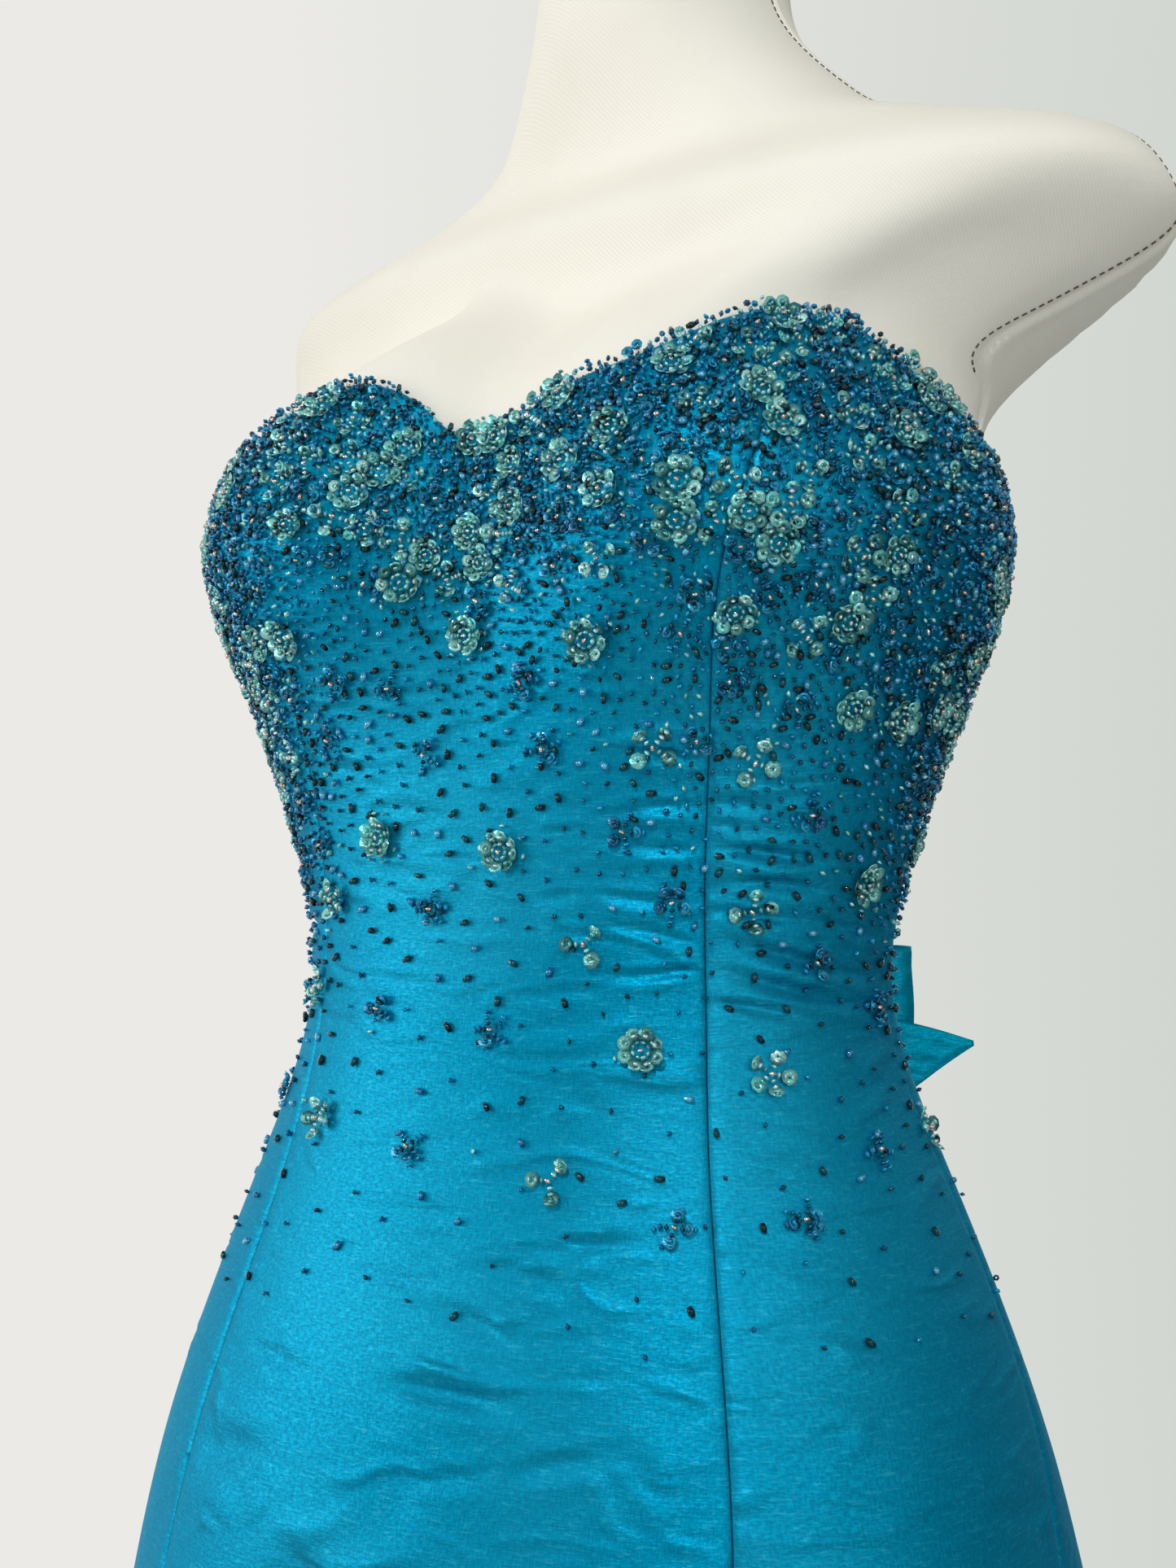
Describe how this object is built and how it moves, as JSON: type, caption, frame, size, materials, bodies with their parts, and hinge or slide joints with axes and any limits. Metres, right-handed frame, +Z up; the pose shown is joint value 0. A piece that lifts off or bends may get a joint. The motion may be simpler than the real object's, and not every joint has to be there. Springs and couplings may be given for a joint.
{
  "type": "evening dress on a dress form",
  "caption": "Strapless floor-length evening dress with a sweetheart top and a back bow, worn by a limbless dress form on a stand.",
  "frame": {"origin": "centre of the stand's underside, on the floor", "axes": "+Z up, -Y towards the front of the dress, +X towards the wearer's left"},
  "size_m": [0.773, 0.7108, 1.51],
  "materials": {
    "turquoise_taffeta": "crisp taffeta with a soft sheen and fine slubs",
    "cream_jersey": "matt stretched cotton jersey",
    "stand_steel": "brushed",
    "zip_metal": "satin nickel",
    "glass_beads": "glass seed beads, bugles and clear sequins"
  },
  "bodies": {
    "dress_on_form": {"front_centre_panel": "turquoise_taffeta", "side_front_left": "turquoise_taffeta", "side_front_right": "turquoise_taffeta", "back_left": "turquoise_taffeta", "back_right": "turquoise_taffeta", "bow_knot": "turquoise_taffeta", "bow_loop_left": "turquoise_taffeta", "bow_loop_right": "turquoise_taffeta", "bow_tail_left": "turquoise_taffeta", "bow_tail_right": "turquoise_taffeta", "zip_slider": "zip_metal", "dress_form": "cream_jersey", "stand_pole": "stand_steel", "stand_base": "stand_steel"},
    "zip_pull_tab": {"zip_pull": "zip_metal"}
  },
  "joints": [
    {"name": "zip_pull_swing", "type": "hinge", "parent": "dress_on_form", "child": "zip_pull_tab", "pos_m": [0, 0.0888, 1.2055], "axis": [1, 0, 0], "range_deg": [0, 150]}
  ]
}
